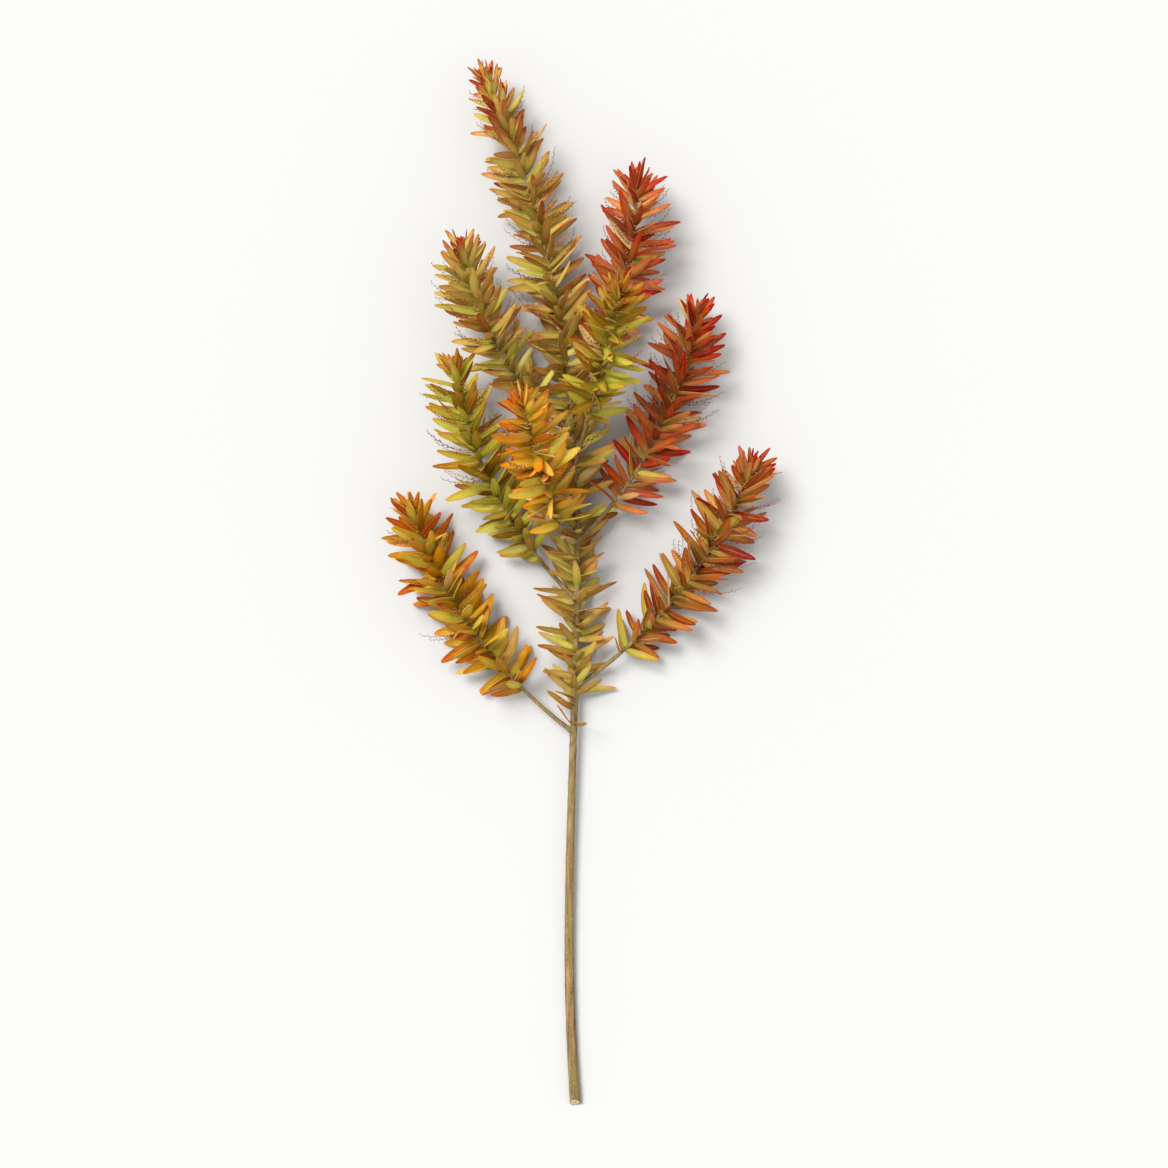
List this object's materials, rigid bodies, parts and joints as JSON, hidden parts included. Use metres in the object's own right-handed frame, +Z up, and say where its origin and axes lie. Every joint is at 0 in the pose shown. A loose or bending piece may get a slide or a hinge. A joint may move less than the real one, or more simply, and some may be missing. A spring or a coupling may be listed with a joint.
{
  "type": "acacia stem",
  "caption": "Cut flowering-branch stem lying down: bare woody stem, leafy axis with a nodding tip, and leafy side shoots with strings of flower buds.",
  "frame": {"origin": "centre of the outline seen from above, on the surface that the stem lies on", "axes": "+Y from the cut end towards the tip, +Z up off the surface, +X to the right seen from above"},
  "size_m": [0.3054, 0.7908, 0.1254],
  "materials": {
    "bark": "matt ridged bark, pale wood and pith at the cut",
    "leaves_orange": "satin leaf, olive at the root to orange at the tip",
    "leaves_amber": "satin leaf, pale amber with green at the root",
    "leaves_gold": "satin leaf, lime gold with orange edges",
    "leaves_rust": "satin leaf, rust brown over olive",
    "leaves_red": "satin leaf, crimson to rust over olive",
    "twigs": "smooth ridged green wood",
    "buds": "matt round flower buds, rust red"
  },
  "bodies": {
    "root": {"main_stem": "bark", "leafy_axis": "leaves_orange", "side_shoot_1": "leaves_amber", "side_shoot_2": "leaves_rust", "side_shoot_3": "leaves_gold", "side_shoot_4": "leaves_red", "side_shoot_5": "leaves_orange", "side_shoot_6": "leaves_red", "rising_shoot_1": "leaves_amber", "rising_shoot_2": "leaves_gold"}
  },
  "joints": []
}
